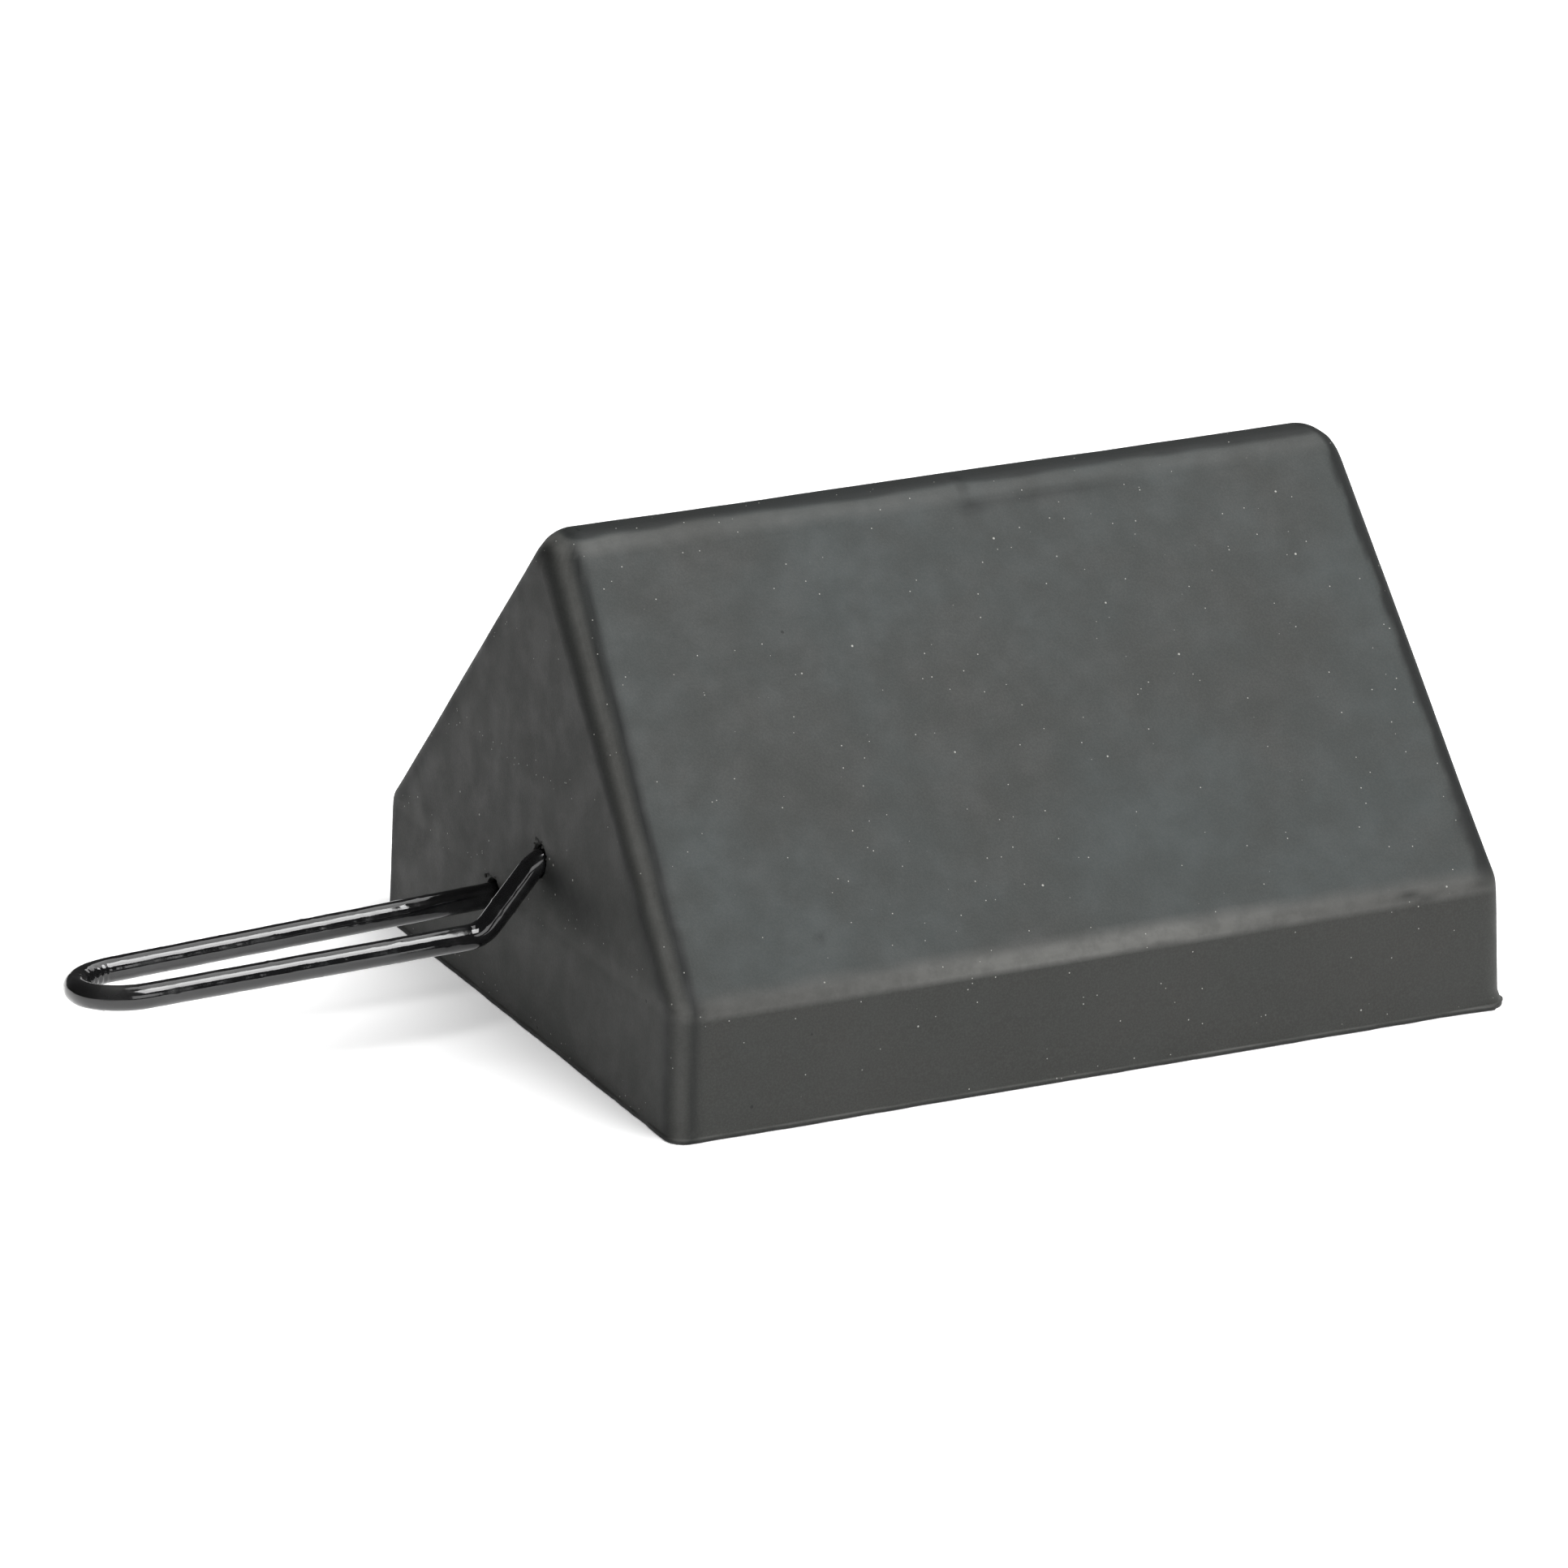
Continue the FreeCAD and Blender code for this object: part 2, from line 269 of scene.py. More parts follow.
def block_shell(bm):
    """Join the level outlines into one closed skin."""
    rings = [[bm.verts.new(point) for point in outline] for outline in block_levels()]
    for lower, upper in zip(rings, rings[1:]):
        for step in range(len(lower)):
            after = (step + 1) % len(lower)
            bm.faces.new((lower[step], lower[after], upper[after], upper[step]))
    close_level(bm, rings[0], False)
    close_level(bm, rings[-1], True)


HOLE_POINTS = 72
PATCH_RADIUS = 7.0 * MM
RIM_FLARE = 0.45 * MM
RIM_DEPTH = 0.9 * MM
PATCH_SHARES = (0.22, 0.42, 0.6, 0.75, 0.87, 0.95)  # rings from the patch in to the rim
HOLE_DEPTHS = (0.12, 0.35, 0.7, 1.2, 1.9, 2.8, 4.0, 5.5, 7.5, 10.0, 15.0, 25.0,
               38.0, 51.0)  # mm


def mouth_gap(angle, depth, seed):
    """Space between the wire and the rubber, widest above the wire at the mouth."""
    open_share = 1 - smooth(0.0, 6.0 * MM, depth)
    above = max(0.0, math.sin(angle + 0.7)) ** 1.2
    ragged = noise.noise(Vector((math.cos(angle) * 3, math.sin(angle) * 3, seed)))
    fine = noise.noise(Vector((math.cos(angle) * 9, math.sin(angle) * 9, seed + 5)))
    tear = (0.35 * ragged + 0.22 * fine) * MM * open_share * (0.35 + above)
    return 0.06 * MM + 1.35 * MM * above * open_share + max(tear, -0.05 * MM)


def hole_ring(bm, leg, face_x, depth, seed, extra):
    """One ring of a hole's wall, extra wider than the hole at that depth."""
    centre, stretch = wire_section(leg, face_x + depth)
    ring = []
    for step in range(HOLE_POINTS):
        angle = 2 * math.pi * step / HOLE_POINTS
        radius = WIRE_RADIUS + mouth_gap(angle, depth, seed) + extra
        y = centre.y - math.cos(angle) * radius
        z = centre.z + math.sin(angle) * radius * stretch
        lean = (z - centre.z) * END_LEAN * (1 - smooth(0, 5 * MM, depth))
        ring.append(bm.verts.new((face_x + depth + lean, y, z)))
    return ring


def join_rings(bm, outer, inner):
    """Join two rings of equal count with quads."""
    faces = []
    for step in range(len(outer)):
        after = (step + 1) % len(outer)
        faces.append(bm.faces.new((outer[step], outer[after], inner[after], inner[step])))
    return faces


def open_hole(bm, mouth, leg, seed):
    """Cut one blind hole round a wire leg, with a torn rim at its mouth."""
    middle = Vector((0, mouth.y, mouth.z))

    def far_from_hole(vert):
        flat = Vector((0, vert.co.y, vert.co.z))
        return vert.co.x > mouth.x + 3 * MM or (flat - middle).length > PATCH_RADIUS + GRID

    doomed = [face for face in bm.faces if not all(far_from_hole(v) for v in face.verts)]
    bmesh.ops.delete(bm, geom=doomed, context="FACES")
    border = [edge for edge in bm.edges if edge.is_boundary]
    patch = []
    for step in range(HOLE_POINTS):
        angle = 2 * math.pi * step / HOLE_POINTS
        y = mouth.y - math.cos(angle) * PATCH_RADIUS
        z = mouth.z + math.sin(angle) * PATCH_RADIUS
        patch.append(bm.verts.new(end_face(y, z)))
    rings = [patch]
    rim = hole_ring(bm, leg, mouth.x, 0.0, seed, RIM_FLARE)
    for share in PATCH_SHARES:
        between = []
        for outer, inner in zip(patch, rim):
            between.append(bm.verts.new(outer.co.lerp(inner.co, share)))
        rings.append(between)
    rings.append(rim)
    for depth in HOLE_DEPTHS:
        flare = RIM_FLARE * (1 - smooth(0, RIM_DEPTH, depth * MM))
        rings.append(hole_ring(bm, leg, mouth.x, depth * MM, seed, flare))
    for outer, inner in zip(rings, rings[1:]):
        join_rings(bm, outer, inner)
    bm.faces.new(rings[-1])
    loop = [bm.edges.get((patch[step], patch[(step + 1) % HOLE_POINTS]))
            for step in range(HOLE_POINTS)]
    bmesh.ops.triangle_fill(bm, use_beauty=True, edges=border + loop,
                            normal=Vector((-1, 0, 0)))


def shoulder_distance(point):
    """Distance from the long edge between wall and tyre face."""
    return math.hypot(abs(point.y) - SHOULDER_HALF_WIDTH, point.z - WALL_HEIGHT)


def rubber_shift(point, normal):
    """How far the moulded skin stands off its nominal face, along its normal."""
    on_base = point.z < 0.1 * MM and normal.z < -0.7
    if on_base:
        return 0.0
    swell = 0.20 * wobble(point, 62 * MM, 1) + 0.09 * wobble(point, 19 * MM, 2)
    swell += 0.025 * wobble(point, 5 * MM, 3)
    near_edge = bell(shoulder_distance(point), 0, 6 * MM)
    swell += near_edge * (0.28 * wobble(point, 24 * MM, 4) + 0.08 * wobble(point, 7 * MM, 5))
    return swell * MM


def flash_shift(point):
    """Uneven trimmed flash: how far the lip's edge moves outward."""
    along = Vector((point.x, point.y, 0))
    ragged = 0.30 * wobble(along, 26 * MM, 11) + 0.22 * wobble(along, 7 * MM, 12)
    ragged += 0.12 * wobble(along, 2.4 * MM, 13)
    corner = Vector((BLOCK_LENGTH / 2, -BLOCK_WIDTH / 2, 0))
    flare = 0.9 * bell((along - corner).length, 0, 9 * MM)
    return (ragged + flare) * MM


def shape_skin(bm, bore_verts):
    """Move the nominal skin to its moulded, slightly uneven shape."""
    bm.normal_update()
    moves = []
    for vert in bm.verts:
        if vert in bore_verts:
            continue
        point, normal = vert.co, vert.normal
        move = normal * (rubber_shift(point, normal) - stain_and_shadow_at(point, 1) * MM)
        beyond = max(abs(point.x) - half_length(point.z),
                     abs(point.y) - FOOT_HALF_WIDTH + point.z * SIDE_LEAN)
        if point.z < 1.2 * LIP_THICKNESS and beyond > 0.05 * MM:
            outward = Vector((normal.x, normal.y, 0))
            if outward.length > 0.01:
                share = smooth(0.05 * MM, 0.35 * MM, beyond)
                move = outward.normalized() * flash_shift(point) * share
        moves.append((vert, move))
    for vert, move in moves:
        vert.co += move


def add_crumb(bm, centre, size, seed):
    """A torn crumb of rubber, half sunk in the skin."""
    turn = Matrix.Rotation(seed * 1.7, 4, Vector((1, 0.4, 0.2)))
    stretch = Matrix.Diagonal((0.7 + 0.3 * math.sin(seed), 1.5, 0.8, 1))
    place = Matrix.Translation(centre) @ turn @ stretch
    made = bmesh.ops.create_icosphere(bm, subdivisions=2, radius=size / 2, matrix=place)
    for vert in made["verts"]:
        away = vert.co - centre
        vert.co += away * 0.8 * noise.noise(vert.co / (0.35 * size) + Vector((seed, 0, 0)))


CRUMB_PLACES = (
    # hole, how far below its middle, degrees round it
    (NEAR_MOUTH, 0.9 * MM, (62, 74, 88, 99, 112, 127, 22, -18, -52)),
    (FAR_MOUTH, 0.0, (70, 85, 101, 118, 140)),
)


def torn_crumbs(bm):
    """Torn bits of rubber round both holes."""
    crumbs = []
    for mouth, drop, angles in CRUMB_PLACES:
        for number, degrees in enumerate(angles):
            angle = math.radians(degrees)
            radius = (4.6 + 0.5 * math.sin(number * 2.1)) * MM
            height = mouth.z - drop + math.sin(angle) * radius * 1.12
            spot = end_face(mouth.y - math.cos(angle) * radius, height)
            crumbs.append((spot, (0.75 + 0.3 * math.sin(number * 5.0)) * MM))
    for number, (spot, size) in enumerate(crumbs):
        add_crumb(bm, spot, size, number + 1)


BORE_REACH = 8 * MM
BORE_SKIN = 0.3 * MM
HOLE_RUN_ON = 2 * MM


def in_bore(point):
    """True for a point that lies inside either hole, under the end face's skin."""
    beside = any(abs(point.y - mouth.y) < BORE_REACH for mouth in (FAR_MOUTH, NEAR_MOUTH))
    under = end_face(0, point.z).x + BORE_SKIN < point.x < -40 * MM
    return beside and under and 15 * MM < point.z < 60 * MM


def make_block():
    """The rubber moulding: skin, flash lip and two blind holes with torn mouths."""
    bm = bmesh.new()
    block_shell(bm)
    turn = WIRE_PATH.index(min(WIRE_PATH, key=lambda point: point.x))
    far_end = FAR_TIP + (FAR_TIP - FAR_MOUTH).normalized() * HOLE_RUN_ON
    near_end = NEAR_TIP + Vector((HOLE_RUN_ON, 0, 0))
    open_hole(bm, FAR_MOUTH, [far_end] + WIRE_PATH[:turn], 3)
    open_hole(bm, NEAR_MOUTH, WIRE_PATH[turn:] + [near_end], 8)
    shape_skin(bm, {vert for vert in bm.verts if in_bore(vert.co)})
    torn_crumbs(bm)
    mesh = bpy.data.meshes.new("rubber_block_skin")
    bm.to_mesh(mesh)
    bm.free()
    shade_masks(mesh)
    return mesh


def upright_edge_highlight_and_shade(point):
    """Painted highlight and painted shade shares round the four edges that climb from base
    to ridge.
    """
    inward = FOOT_HALF_LENGTH - point.z * END_LEAN - abs(point.x)
    if point.z < WALL_HEIGHT:
        side_in = FOOT_HALF_WIDTH - point.z * SIDE_LEAN - abs(point.y)
    else:
        run = SHOULDER_HALF_WIDTH - (point.z - WALL_HEIGHT) / math.tan(SLOPE)
        side_in = (run - abs(point.y)) * math.sin(SLOPE)
    across = inward - side_in
    on_slope = smooth(WALL_HEIGHT - 3 * MM, WALL_HEIGHT + 5 * MM, point.z)
    top = smooth(0, 5 * MM, BLOCK_HEIGHT - point.z)
    # At the far end there is only painted shade: a dark strip with a ragged border on the
    # rounded edge that turns away from the lights.
    if point.x > 0:
        torn = (1.7 * wobble(point, 9 * MM, 31) + 0.9 * wobble(point, 3 * MM, 32)) * MM
        strip = 1 - smooth(4.5 * MM, 7.0 * MM, across + torn)
        return 0.0, 0.9 * on_slope * strip * smooth(-14 * MM, -7 * MM, across)
    # Painted highlight down the middle of the rounded edge, a painted dark line beside it on
    # the tyre face and wall, and painted shade on the end face beside it.
    pale = bell(across, 0.3 * MM, 2.4 * MM) * (0.5 + 0.5 * on_slope)
    sway = 0.5 * MM * wobble(point, 13 * MM, 36)
    line = bell(across + sway, 4.9 * MM, 1.5 * MM) * (0.65 + 0.35 * on_slope)
    shade = 0.6 * bell(across, -5.5 * MM, 2.4 * MM)
    return pale * top, min(1.0, line + shade) * top


def shoulder_highlight(point):
    """Painted highlight: a pale band along the long edge between wall and tyre face,
    strongest near the middle.
    """
    climb = point.z - WALL_HEIGHT + 0.7 * MM * wobble(point, 11 * MM, 33)
    band = smooth(-2.8 * MM, -1.8 * MM, climb) * (1 - smooth(-0.2 * MM, 4.0 * MM, climb))
    along = 0.42 + 0.58 * bell(point.x, -2 * MM, 52 * MM)
    ends = smooth(0, 14 * MM, FOOT_HALF_LENGTH - abs(point.x))
    return band * along * (0.35 + 0.65 * ends)


def ridge_highlight_and_shade(point):
    """Painted highlight along both sides of the ridge, and a painted dark line of shade on
    its top.
    """
    below = BLOCK_HEIGHT - point.z + 0.5 * MM * wobble(point, 15 * MM, 34)
    band = smooth(0.5 * MM, 1.3 * MM, below) * (1 - smooth(2.2 * MM, 5.0 * MM, below))
    along = 0.22 + 0.5 * bell(point.x, -100 * MM, 16 * MM) + 0.28 * bell(
        point.x, -45 * MM, 42 * MM)
    return band * along, 0.75 * (1 - smooth(0.3 * MM, 1.0 * MM, below))


STAINS_AND_HANDLE_SHADOW = (
    # middle, half sizes, darkness, depth, all sizes in mm
    ((2.2, -5.5, 126.5), (0.9, 4.5, 4.5), 0.7, 0.5),
    ((3.5, -10.0, 121.9), (4.5, 1.9, 1.9), 0.6, 0.2),
    ((24.0, -9.6, 122.4), (15.0, 1.6, 1.6), 0.55, 0.25),
    ((86.5, -87.2, 32.8), (2.6, 1.8, 0.9), 0.8, 0.5),
    ((91.0, -88.0, 31.4), (2.6, 1.8, 0.8), 0.8, 0.5),
    ((-70.6, -78.4, 42.9), (1.0, 1.3, 1.3), 0.7, 0.3),
    # The last two rows are painted shadow: the handle's shadow on the end face, with no
    # depth.
    ((-112.0, -15.0, 43.0), (4.0, 6.0, 4.5), 0.75, 0.0),
    ((-112.0, -29.0, 42.0), (4.0, 12.0, 6.0), 0.6, 0.0),
)


def stain_and_shadow_at(point, column):
    """Strength of the dark marks and nicks, and of the painted shadow of the handle, at one
    point of the skin.
    """
    total = 0.0
    for middle, sizes, darkness, depth in STAINS_AND_HANDLE_SHADOW:
        away = sum(((point[axis] / MM - middle[axis]) / sizes[axis]) ** 2
                   for axis in range(3))
        if away < 9:
            total += (darkness, depth)[column] * math.exp(-away)
    return total


def flash_highlight_and_shade(point):
    """A patchy painted highlight along the top of the flash, and painted shade on its lower
    edge.
    """
    patchy = 0.35 + 0.65 * smooth(-0.2, 0.3, wobble(point, 12 * MM, 35))
    top = bell(point.z, 1.05 * LIP_THICKNESS, 0.22 * MM) * patchy
    return 0.4 * top, 0.55 * (1 - smooth(0.5 * MM, 0.9 * MM, point.z))


def shade_masks(mesh):
    """Store where the moulding gets painted highlights, painted shade and dark stains, for
    its material to read.
    """
    pale = mesh.attributes.new("painted_highlight", "FLOAT", "POINT")
    dark = mesh.attributes.new("stains_and_painted_shade", "FLOAT", "POINT")
    tread = mesh.attributes.new("tyre_face", "FLOAT", "POINT")
    for number, vert in enumerate(mesh.vertices):
        point = vert.co
        edge_highlight, edge_shade = upright_edge_highlight_and_shade(point)
        ridge_highlight, ridge_shade = ridge_highlight_and_shade(point)
        flash_highlight, flash_shade = flash_highlight_and_shade(point)
        inward = FOOT_HALF_LENGTH - point.z * END_LEAN - abs(point.x)
        tread.data[number].value = (smooth(3 * MM, 7 * MM, inward)
                                    * smooth(0, 4 * MM, point.z - WALL_HEIGHT))
        # Painted highlights on the upright edges, shoulder, ridge and flash.
        pale.data[number].value = (0.55 * edge_highlight + 1.1 * shoulder_highlight(point)
                                   + 0.6 * ridge_highlight + flash_highlight)
        # Painted shade on the edges, ridge and flash, plus real stains and the handle's
        # painted shadow.
        dark.data[number].value = min(1.0, edge_shade + ridge_shade + flash_shade
                                      + stain_and_shadow_at(point, 0))


# ---------------------------------------------------------------- wire handle

WIRE_POINTS = 36
CHIP_PLACE = Vector((LOOP_END - 2.4 * MM, 11.8 * MM, 23.1 * MM))
BRUSHED_PLACE = Vector((LOOP_END + 5 * MM, -2.0 * MM, 28.0 * MM))


def loop_inside(point, radial):
    """1 on the inner side of the loop's bend, 0 outside it."""
    beyond = 1 - smooth(LOOP_CENTRE.x - 4 * MM, LOOP_CENTRE.x + 2 * MM, point.x)
    toward = (LOOP_CENTRE - point).normalized()
    return beyond * max(0.0, radial.dot(toward)) ** 2


def coat_height(point, radial, along):
    """Thickness changes of the dipped coating at one point of the wire."""
    height = 0.05 * wobble(point, 7 * MM, 21) + 0.03 * wobble(point, 2.2 * MM, 22)
    wrinkle = math.sin(along / (0.36 * MM) + 1.5 * wobble(point, 3 * MM, 23))
    height += 0.20 * wrinkle * loop_inside(point, radial)
    nub = max(0.0, wobble(point, 1.6 * MM, 24) - 0.5)
    height += 0.5 * nub
    return height * MM


def make_wire():
    """Sweep the coated wire, with ripples, wrinkles and nubs in its coating."""
    bm = bmesh.new()
    rings = []
    along = 0.0
    path = WIRE_PATH
    for number, centre in enumerate(path):
        before = path[max(0, number - 1)]
        after = path[min(len(path) - 1, number + 1)]
        along += (centre - before).length
        tangent = (after - before).normalized()
        rise = (UP - tangent * UP.dot(tangent)).normalized()
        side = rise.cross(tangent)
        ring = []
        for step in range(WIRE_POINTS):
            angle = 2 * math.pi * step / WIRE_POINTS
            radial = side * math.cos(angle) + rise * math.sin(angle)
            held = centre.x > end_face(0, centre.z).x
            coat = 0.0 if held else coat_height(centre + radial * WIRE_RADIUS, radial, along)
            ring.append(bm.verts.new(centre + radial * (WIRE_RADIUS + coat)))
        rings.append(ring)
    for ring, after in zip(rings, rings[1:]):
        join_rings(bm, ring, after)
    bm.faces.new(reversed(rings[0]))
    bm.faces.new(rings[-1])
    bmesh.ops.recalc_face_normals(bm, faces=bm.faces)
    mesh = bpy.data.meshes.new("wire_handle_skin")
    bm.to_mesh(mesh)
    bm.free()
    chip = mesh.attributes.new("chip", "FLOAT", "POINT")
    brushed = mesh.attributes.new("brushed", "FLOAT", "POINT")
    for number, vert in enumerate(mesh.vertices):
        chip.data[number].value = bell((vert.co - CHIP_PLACE).length, 0, 1.9 * MM)
        brushed.data[number].value = bell((vert.co - BRUSHED_PLACE).length, 0, 5 * MM)
    return mesh


# ---------------------------------------------------------------- materials


def new_material(name):
    """An empty node material with its shader, and a function that adds nodes."""
    material = bpy.data.materials.new(name)
    material.use_nodes = True
    tree = material.node_tree
    shader = tree.nodes["Principled BSDF"]

    def add(kind, inputs=None, **settings):
        node = tree.nodes.new("ShaderNode" + kind)
        for key, value in settings.items():
            setattr(node, key, value)
        for key, value in (inputs or {}).items():
            if isinstance(value, bpy.types.NodeSocket):
                tree.links.new(value, node.inputs[key])
            else:
                node.inputs[key].default_value = value
        return node

    def link(source, target):
        tree.links.new(source, target)

    return material, shader, add, link


def ramp(add, source, low, high, to_low=0.0, to_high=1.0):
    """Map a value range to another, clamped and smooth."""
    node = add("MapRange", {"Value": source, "From Min": low, "From Max": high,
                            "To Min": to_low, "To Max": to_high})
    node.interpolation_type = "SMOOTHSTEP"
    return node.outputs["Result"]


def combine(add, operation, one, other):
    """A math node on two values."""
    node = add("Math", {0: one, 1: other}, operation=operation)
    return node.outputs["Value"]


def tint(add, share, below, above):
    """Mix two colours by a share."""
    node = add("Mix", {0: share, 6: below, 7: above}, data_type="RGBA")
    return node.outputs[2]


def specks(add, coords, per_metre, radius, share, seed):
    """Scattered round specks: 1 inside a speck of that radius, 0 elsewhere."""
    cells = add("Mapping", {"Vector": coords, "Location": (seed, seed * 2.0, seed * 3.0)})
    voronoi = add("TexVoronoi", {"Vector": cells.outputs[0], "Scale": per_metre})
    spot = ramp(add, voronoi.outputs["Distance"], radius * per_metre * 0.6,
                radius * per_metre * 1.25, 1.0, 0.0)
    pick = add("SeparateColor", {"Color": voronoi.outputs["Color"]})
    chosen = combine(add, "GREATER_THAN", pick.outputs[0], 1 - share)
    return combine(add, "MULTIPLY", spot, chosen)


# Colour of the painted highlights.
HIGHLIGHT_RUBBER = (0.118, 0.118, 0.112, 1)
# Colour of painted shade, and of the real stains and pits.
DARK_MARKS_AND_SHADE_RUBBER = (0.006, 0.007, 0.007, 1)


def rubber_material():
    """Moulded black rubber with bloom, painted highlights and painted shade on its edges,
    ridge and flash, the handle's painted shadow, pits, scuffs and dust.
    """
    material, shader, add, link = new_material("moulded_rubber")
    coords = add("TexCoord").outputs["Object"]
    cloud = add("TexNoise", {"Vector": coords, "Scale": 17.0, "Detail": 6.0,
                             "Roughness": 0.62}).outputs[0]
    patch = add("TexNoise", {"Vector": coords, "Scale": 85.0, "Detail": 5.0,
                             "Roughness": 0.6}).outputs[0]
    grain = add("TexNoise", {"Vector": coords, "Scale": 1900.0, "Detail": 3.0,
                             "Roughness": 0.55}).outputs[0]
    bloom = ramp(add, cloud, 0.33, 0.68)
    cool = tint(add, bloom, (0.0285, 0.0300, 0.0280, 1), (0.0340, 0.0410, 0.0408, 1))
    warm = tint(add, bloom, (0.0255, 0.0262, 0.0240, 1), (0.0305, 0.0305, 0.0282, 1))
    tread = add("Attribute", attribute_name="tyre_face").outputs["Fac"]
    colour = tint(add, tread, warm, cool)
    mottle = ramp(add, patch, 0.35, 0.7, 0.0, 0.35)
    colour = tint(add, mottle, colour, (0.041, 0.044, 0.042, 1))

    fleck = ramp(add, grain, 0.35, 0.7, 0.0, 0.22)
    colour = tint(add, fleck, colour, (0.062, 0.064, 0.060, 1))

    pale = add("Attribute", attribute_name="painted_highlight").outputs["Fac"]
    dark = add("Attribute", attribute_name="stains_and_painted_shade").outputs["Fac"]
    broken = add("TexNoise", {"Vector": coords, "Scale": 160.0, "Detail": 8.0,
                              "Roughness": 0.7}).outputs[0]
    broken = ramp(add, broken, 0.34, 0.62, 0.68, 1.0)
    # Painted highlights from the pale share, then painted shade and real stains from the
    # dark share.
    colour = tint(add, combine(add, "MULTIPLY", pale, broken), colour, HIGHLIGHT_RUBBER)
    colour = tint(add, dark, colour, DARK_MARKS_AND_SHADE_RUBBER)

    pits = specks(add, coords, 55.0, 0.45 * MM, 0.3, 1.0)
    colour = tint(add, combine(add, "MULTIPLY", pits, 0.6), colour, DARK_MARKS_AND_SHADE_RUBBER)
    dust = specks(add, coords, 800.0, 0.17 * MM, 0.05, 2.0)
    crumbs = specks(add, coords, 330.0, 0.30 * MM, 0.02, 3.0)
    dust = combine(add, "MAXIMUM", dust, crumbs)
    colour = tint(add, combine(add, "MULTIPLY", dust, 0.75), colour,
                  (0.42, 0.42, 0.39, 1))
    link(colour, shader.inputs["Base Color"])

    rough = ramp(add, patch, 0.3, 0.7, 0.56, 0.70)
    link(rough, shader.inputs["Roughness"])
    shader.inputs["Specular IOR Level"].default_value = 0.27

    height = combine(add, "MULTIPLY", grain, 0.5)
    height = combine(add, "ADD", height, combine(add, "MULTIPLY", patch, 0.8))
    height = combine(add, "SUBTRACT", height, combine(add, "MULTIPLY", pits, 1.6))
    height = combine(add, "ADD", height, combine(add, "MULTIPLY", dust, 0.6))
    bump = add("Bump", {"Height": height, "Strength": 0.45, "Distance": 0.12 * MM})
    link(bump.outputs[0], shader.inputs["Normal"])
    return material


def coating_material():
    """Glossy black dipped coating with dull rubbed patches and dust."""
    material, shader, add, link = new_material("black_dipped_coating")
    coords = add("TexCoord").outputs["Object"]
    smear = add("TexNoise", {"Vector": coords, "Scale": 130.0, "Detail": 5.0,
                             "Roughness": 0.6}).outputs[0]
    fine = add("TexNoise", {"Vector": coords, "Scale": 900.0, "Detail": 3.0,
                            "Roughness": 0.6}).outputs[0]
    dull = ramp(add, smear, 0.48, 0.68)
    colour = tint(add, dull, (0.0055, 0.0055, 0.006, 1), (0.013, 0.0135, 0.014, 1))
    dust = specks(add, coords, 260.0, 0.12 * MM, 0.10, 4.0)
    colour = tint(add, combine(add, "MULTIPLY", dust, 0.6), colour, (0.3, 0.3, 0.28, 1))
    chip = add("Attribute", attribute_name="chip").outputs["Fac"]
    chip = ramp(add, combine(add, "ADD", chip, smear), 0.9, 1.05)
    colour = tint(add, chip, colour, (0.42, 0.42, 0.40, 1))
    brushed = add("Attribute", attribute_name="brushed").outputs["Fac"]
    colour = tint(add, combine(add, "MULTIPLY", brushed, 0.5), colour,
                  (0.045, 0.045, 0.044, 1))
    link(colour, shader.inputs["Base Color"])
    rough = ramp(add, smear, 0.42, 0.70, 0.06, 0.20)
    rough = combine(add, "ADD", rough, combine(add, "MULTIPLY", brushed, 0.3))
    link(rough, shader.inputs["Roughness"])
    shader.inputs["Specular IOR Level"].default_value = 0.55
    shader.inputs["Coat Weight"].default_value = 0.45
    shader.inputs["Coat Roughness"].default_value = 0.05
    height = combine(add, "ADD", combine(add, "MULTIPLY", smear, 1.0),
                     combine(add, "MULTIPLY", fine, 0.25))
    bump = add("Bump", {"Height": height, "Strength": 0.5, "Distance": 0.10 * MM})
    link(bump.outputs[0], shader.inputs["Normal"])
    return material


def floor_material():
    """A plain pale matt floor that glows a little, so that shadows stay faint."""
    material, shader = new_material("pale_floor")[:2]
    shader.inputs["Base Color"].default_value = (0.94, 0.94, 0.94, 1)
    shader.inputs["Roughness"].default_value = 0.9
    shader.inputs["Specular IOR Level"].default_value = 0.1
    shader.inputs["Emission Color"].default_value = (1, 1, 1, 1)
    shader.inputs["Emission Strength"].default_value = FLOOR_GLOW
    return material


# ---------------------------------------------------------------- camera and light

WORLD_STRENGTH = 0.05
FLOOR_GLOW = 0.36
FLOOR_DROP = 0.2 * MM  # keeps the floor clear of the base
LIGHT_AIM = Vector((0, 0, 0.05))
SOFTBOXES = (
    # name, place, (width, height), watts
    ("key", (0.4, -0.8, 1.7), (1.4, 1.1), 40),
    ("top", (1.0, 0.3, 1.9), (2.4, 2.4), 36),
    ("front", (-0.2, -2.2, 0.8), (1.6, 0.9), 9),
)


CAMERA_AZIMUTH = math.radians(-25.507)
CAMERA_ELEVATION = math.radians(19.795)
CAMERA_ROLL = math.radians(-0.357)
CAMERA_AIM = Vector((-34.22, 18.52, 45.51)) * MM
CAMERA_DISTANCE = 2.8057
CAMERA_LENS = 258.4


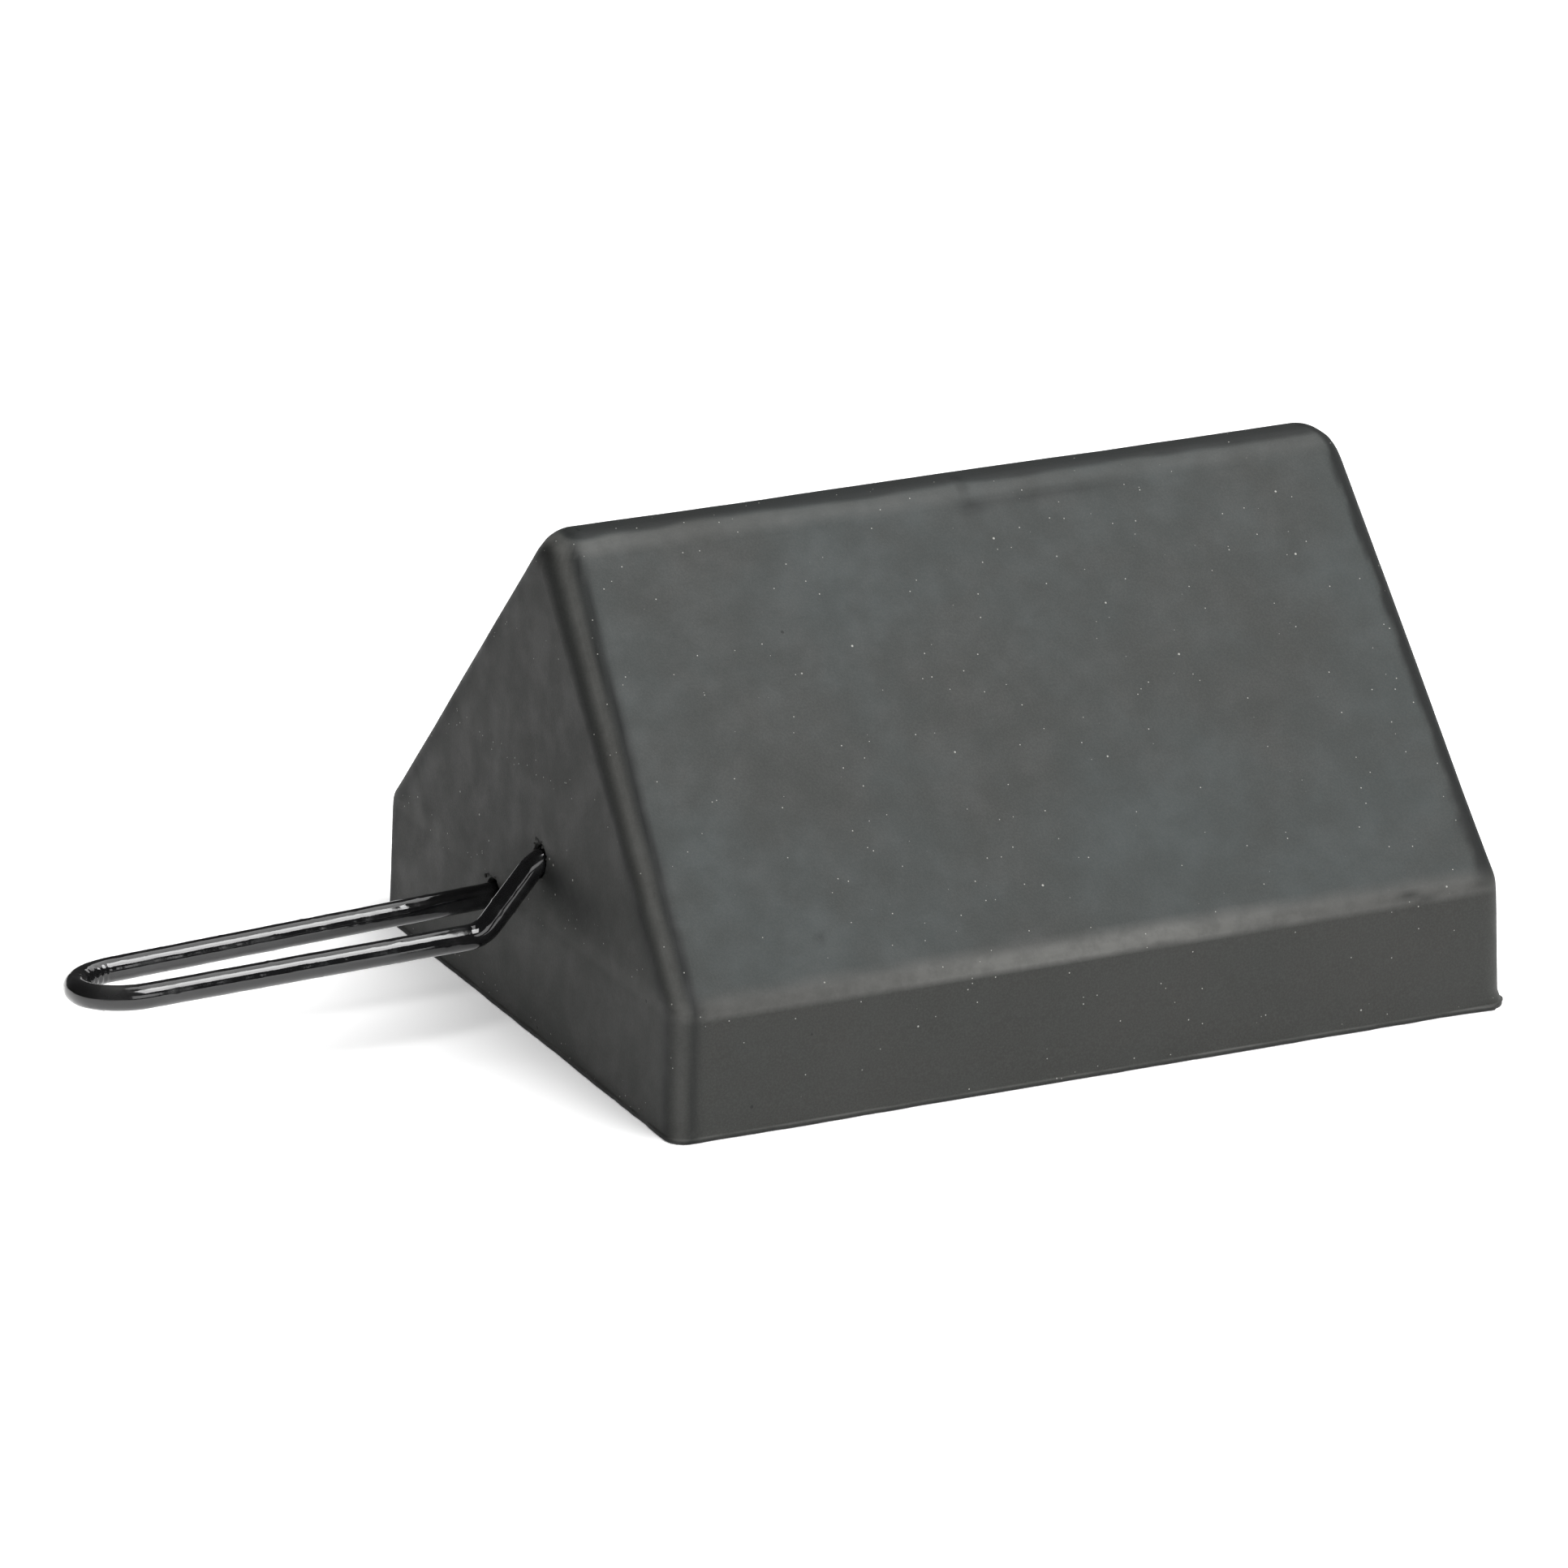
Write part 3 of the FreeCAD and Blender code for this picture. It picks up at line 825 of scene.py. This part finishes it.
def make_camera():
    """The viewing angle: a near tyre face and the handle end, through a long lens."""
    azimuth, elevation, roll = CAMERA_AZIMUTH, CAMERA_ELEVATION, CAMERA_ROLL
    back = Vector((math.sin(azimuth) * math.cos(elevation),
                   -math.cos(azimuth) * math.cos(elevation), math.sin(elevation)))
    right = Vector((math.cos(azimuth), math.sin(azimuth), 0))
    rise = back.cross(right)
    data = bpy.data.cameras.new("camera")
    data.sensor_width = 36.0
    data.lens = CAMERA_LENS
    data.clip_start, data.clip_end = 0.05, 50.0
    camera = bpy.data.objects.new("camera", data)
    bpy.context.scene.collection.objects.link(camera)
    turned_right = right * math.cos(roll) - rise * math.sin(roll)
    turned_rise = right * math.sin(roll) + rise * math.cos(roll)
    place = Matrix((turned_right, turned_rise, back)).transposed().to_4x4()
    place.translation = CAMERA_AIM + back * CAMERA_DISTANCE
    camera.matrix_world = place
    bpy.context.scene.camera = camera


def soft_light(name, place, size, power):
    """A rectangular softbox that looks at the block."""
    data = bpy.data.lights.new(name, "AREA")
    data.shape = "RECTANGLE"
    data.size, data.size_y = size
    data.energy = power
    light = bpy.data.objects.new(name, data)
    bpy.context.scene.collection.objects.link(light)
    light.location = place
    aim = LIGHT_AIM - Vector(place)
    light.rotation_euler = aim.to_track_quat("-Z", "Y").to_euler()


def make_studio():
    """Pale floor, faint even surroundings and three softboxes."""
    bpy.ops.mesh.primitive_circle_add(vertices=96, radius=9.0, fill_type="NGON")
    floor = bpy.context.object
    floor.name = "floor"
    floor.location.z = -FLOOR_DROP
    floor.data.materials.append(floor_material())
    world = bpy.data.worlds.new("studio")
    world.use_nodes = True
    background = world.node_tree.nodes["Background"]
    background.inputs["Color"].default_value = (1, 1, 1, 1)
    background.inputs["Strength"].default_value = WORLD_STRENGTH
    bpy.context.scene.world = world
    for name, place, size, power in SOFTBOXES:
        soft_light(name, place, size, power)


# ---------------------------------------------------------------- the scene

make_camera()
make_studio()
bpy.context.scene.view_settings.view_transform = "Standard"

block = new_piece("rubber_block_moulding", make_block(), rubber_material())
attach(block, "root")
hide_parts("rubber_block")

wire = new_piece("wire_handle_coated", make_wire(), coating_material())
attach(wire, "root")
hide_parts("wire_handle")
